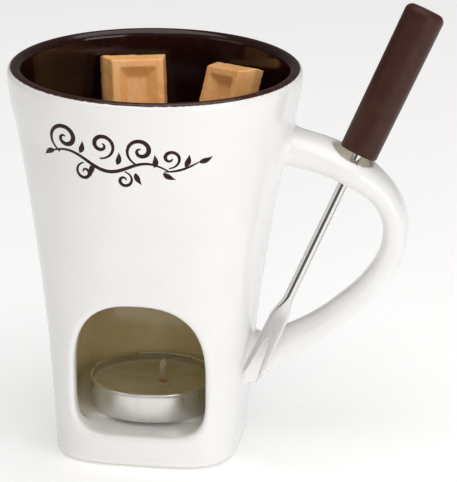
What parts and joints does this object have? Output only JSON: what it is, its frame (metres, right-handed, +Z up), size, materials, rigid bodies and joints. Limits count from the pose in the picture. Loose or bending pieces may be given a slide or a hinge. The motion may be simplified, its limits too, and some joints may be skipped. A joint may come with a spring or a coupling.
{
  "type": "chocolate fondue mug set",
  "caption": "Glazed mug with a tealight chamber under its bowl, a dipping fork standing in a hole of the handle, a tealight and caramel bars to melt.",
  "frame": {"origin": "middle of the foot, on the surface it stands on", "axes": "+Z up, the tealight window faces -Y, the handle points to +X"},
  "size_m": [0.1227, 0.084, 0.132],
  "materials": {
    "white_glaze": "gloss",
    "brown_glaze": "gloss",
    "brown_plastic": "satin",
    "fork_steel": "satin",
    "cup_aluminium": "gloss",
    "tin": "satin",
    "wax": "satin",
    "wick_cotton": "matte",
    "caramel": "satin"
  },
  "bodies": {
    "mug": {"mug_body": "white_glaze", "mug_handle": "white_glaze", "bowl_glaze": "brown_glaze"},
    "fork": {"fork_grip": "brown_plastic", "fork_prongs": "fork_steel"},
    "tealight": {"tealight_cup": "cup_aluminium", "tealight_wax": "wax", "tealight_wick": "wick_cotton", "wick_sustainer": "tin"},
    "caramel_left": {"caramel_bar_left": "caramel"},
    "caramel_right": {"caramel_bar_right": "caramel"}
  },
  "joints": [
    {"name": "fork_lift", "type": "slide", "parent": "mug", "child": "fork", "axis": [0.3895, 0.2224, 0.8937], "range_m": [0, 0.1]},
    {"name": "tealight_out", "type": "slide", "parent": "mug", "child": "tealight", "axis": [0, -0.9703, 0.2419], "range_m": [0, 0.06]},
    {"name": "caramel_left_lift", "type": "slide", "parent": "mug", "child": "caramel_left", "axis": [0, 0, 1], "range_m": [0, 0.06]},
    {"name": "caramel_right_lift", "type": "slide", "parent": "mug", "child": "caramel_right", "axis": [0, 0, 1], "range_m": [0, 0.06]}
  ]
}
